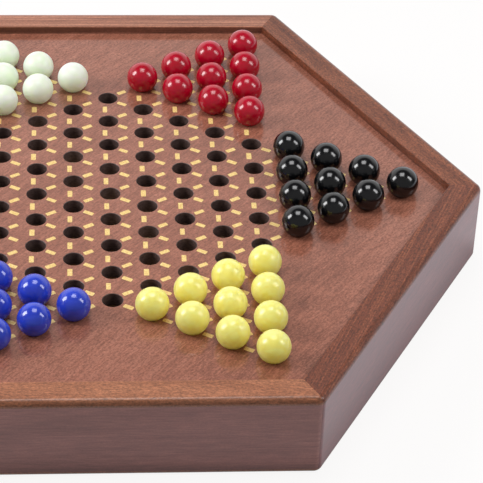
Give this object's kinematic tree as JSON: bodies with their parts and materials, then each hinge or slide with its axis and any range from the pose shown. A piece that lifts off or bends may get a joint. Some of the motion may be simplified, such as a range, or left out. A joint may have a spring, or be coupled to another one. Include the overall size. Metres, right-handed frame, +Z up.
{
  "type": "chinese checkers set",
  "caption": "Six-sided wooden board game case with a recessed star of drilled sockets, coloured glass marbles standing in the star's points, and a marble drawer in two opposite sides.",
  "frame": {"origin": "centre of the underside", "axes": "+X towards the corner of the case behind the black marbles, +Y towards the middle of the back rail, +Z up"},
  "size_m": [0.3246, 0.282, 0.0475],
  "materials": {
    "rail_wood": "satin lacquer over reddish brown wood, long straight grain",
    "panel_veneer": "gloss lacquer over reddish brown veneer",
    "inner_wood": "plain sanded wood",
    "plywood": "thin plywood, unfinished",
    "black_glass": "polished opaque glass",
    "red_glass": "polished opaque glass",
    "white_glass": "polished opaque glass, white with a touch of green",
    "green_glass": "polished opaque glass",
    "blue_glass": "polished opaque glass",
    "yellow_glass": "polished opaque glass"
  },
  "bodies": {
    "case": {"front_rail": "rail_wood", "front_right_rail": "rail_wood", "back_right_rail": "rail_wood", "back_rail": "rail_wood", "back_left_rail": "rail_wood", "front_left_rail": "rail_wood", "playing_panel": "panel_veneer", "base_panel": "plywood", "centre_bar": "inner_wood", "right_drawer_guide_1": "inner_wood", "right_drawer_guide_2": "inner_wood", "left_drawer_guide_1": "inner_wood", "left_drawer_guide_2": "inner_wood"},
    "right_drawer": {"right_drawer_front": "rail_wood", "right_drawer_knob": "rail_wood", "right_drawer_side_1": "inner_wood", "right_drawer_side_2": "inner_wood", "right_drawer_back": "inner_wood", "right_drawer_divider_1": "inner_wood", "right_drawer_divider_2": "inner_wood", "right_drawer_bottom": "plywood"},
    "left_drawer": {"left_drawer_front": "rail_wood", "left_drawer_knob": "rail_wood", "left_drawer_side_1": "inner_wood", "left_drawer_side_2": "inner_wood", "left_drawer_back": "inner_wood", "left_drawer_divider_1": "inner_wood", "left_drawer_divider_2": "inner_wood", "left_drawer_bottom": "plywood"},
    "black_row_1": {"black_marbles_row_1": "black_glass"},
    "black_row_2": {"black_marbles_row_2": "black_glass"},
    "black_row_3": {"black_marbles_row_3": "black_glass"},
    "black_row_4": {"black_marbles_row_4": "black_glass"},
    "red_row_1": {"red_marbles_row_1": "red_glass"},
    "red_row_2": {"red_marbles_row_2": "red_glass"},
    "red_row_3": {"red_marbles_row_3": "red_glass"},
    "red_row_4": {"red_marbles_row_4": "red_glass"},
    "white_row_1": {"white_marbles_row_1": "white_glass"},
    "white_row_2": {"white_marbles_row_2": "white_glass"},
    "white_row_3": {"white_marbles_row_3": "white_glass"},
    "white_row_4": {"white_marbles_row_4": "white_glass"},
    "green_row_1": {"green_marbles_row_1": "green_glass"},
    "green_row_2": {"green_marbles_row_2": "green_glass"},
    "green_row_3": {"green_marbles_row_3": "green_glass"},
    "green_row_4": {"green_marbles_row_4": "green_glass"},
    "blue_row_1": {"blue_marbles_row_1": "blue_glass"},
    "blue_row_2": {"blue_marbles_row_2": "blue_glass"},
    "blue_row_3": {"blue_marbles_row_3": "blue_glass"},
    "blue_row_4": {"blue_marbles_row_4": "blue_glass"},
    "yellow_row_1": {"yellow_marbles_row_1": "yellow_glass"},
    "yellow_row_2": {"yellow_marbles_row_2": "yellow_glass"},
    "yellow_row_3": {"yellow_marbles_row_3": "yellow_glass"},
    "yellow_row_4": {"yellow_marbles_row_4": "yellow_glass"}
  },
  "joints": [
    {"name": "right_drawer_slide", "type": "slide", "parent": "case", "child": "right_drawer", "axis": [0.866, 0.5, 0], "range_m": [0, 0.1165]},
    {"name": "left_drawer_slide", "type": "slide", "parent": "case", "child": "left_drawer", "axis": [-0.866, -0.5, 0], "range_m": [0, 0.1165]},
    {"name": "black_row_1_lift", "type": "slide", "parent": "case", "child": "black_row_1", "axis": [0, 0, 1], "range_m": [0, 0.025]},
    {"name": "black_row_2_lift", "type": "slide", "parent": "case", "child": "black_row_2", "axis": [0, 0, 1], "range_m": [0, 0.025]},
    {"name": "black_row_3_lift", "type": "slide", "parent": "case", "child": "black_row_3", "axis": [0, 0, 1], "range_m": [0, 0.025]},
    {"name": "black_row_4_lift", "type": "slide", "parent": "case", "child": "black_row_4", "axis": [0, 0, 1], "range_m": [0, 0.025]},
    {"name": "red_row_1_lift", "type": "slide", "parent": "case", "child": "red_row_1", "axis": [0, 0, 1], "range_m": [0, 0.025]},
    {"name": "red_row_2_lift", "type": "slide", "parent": "case", "child": "red_row_2", "axis": [0, 0, 1], "range_m": [0, 0.025]},
    {"name": "red_row_3_lift", "type": "slide", "parent": "case", "child": "red_row_3", "axis": [0, 0, 1], "range_m": [0, 0.025]},
    {"name": "red_row_4_lift", "type": "slide", "parent": "case", "child": "red_row_4", "axis": [0, 0, 1], "range_m": [0, 0.025]},
    {"name": "white_row_1_lift", "type": "slide", "parent": "case", "child": "white_row_1", "axis": [0, 0, 1], "range_m": [0, 0.025]},
    {"name": "white_row_2_lift", "type": "slide", "parent": "case", "child": "white_row_2", "axis": [0, 0, 1], "range_m": [0, 0.025]},
    {"name": "white_row_3_lift", "type": "slide", "parent": "case", "child": "white_row_3", "axis": [0, 0, 1], "range_m": [0, 0.025]},
    {"name": "white_row_4_lift", "type": "slide", "parent": "case", "child": "white_row_4", "axis": [0, 0, 1], "range_m": [0, 0.025]},
    {"name": "green_row_1_lift", "type": "slide", "parent": "case", "child": "green_row_1", "axis": [0, 0, 1], "range_m": [0, 0.025]},
    {"name": "green_row_2_lift", "type": "slide", "parent": "case", "child": "green_row_2", "axis": [0, 0, 1], "range_m": [0, 0.025]},
    {"name": "green_row_3_lift", "type": "slide", "parent": "case", "child": "green_row_3", "axis": [0, 0, 1], "range_m": [0, 0.025]},
    {"name": "green_row_4_lift", "type": "slide", "parent": "case", "child": "green_row_4", "axis": [0, 0, 1], "range_m": [0, 0.025]},
    {"name": "blue_row_1_lift", "type": "slide", "parent": "case", "child": "blue_row_1", "axis": [0, 0, 1], "range_m": [0, 0.025]},
    {"name": "blue_row_2_lift", "type": "slide", "parent": "case", "child": "blue_row_2", "axis": [0, 0, 1], "range_m": [0, 0.025]},
    {"name": "blue_row_3_lift", "type": "slide", "parent": "case", "child": "blue_row_3", "axis": [0, 0, 1], "range_m": [0, 0.025]},
    {"name": "blue_row_4_lift", "type": "slide", "parent": "case", "child": "blue_row_4", "axis": [0, 0, 1], "range_m": [0, 0.025]},
    {"name": "yellow_row_1_lift", "type": "slide", "parent": "case", "child": "yellow_row_1", "axis": [0, 0, 1], "range_m": [0, 0.025]},
    {"name": "yellow_row_2_lift", "type": "slide", "parent": "case", "child": "yellow_row_2", "axis": [0, 0, 1], "range_m": [0, 0.025]},
    {"name": "yellow_row_3_lift", "type": "slide", "parent": "case", "child": "yellow_row_3", "axis": [0, 0, 1], "range_m": [0, 0.025]},
    {"name": "yellow_row_4_lift", "type": "slide", "parent": "case", "child": "yellow_row_4", "axis": [0, 0, 1], "range_m": [0, 0.025]}
  ]
}
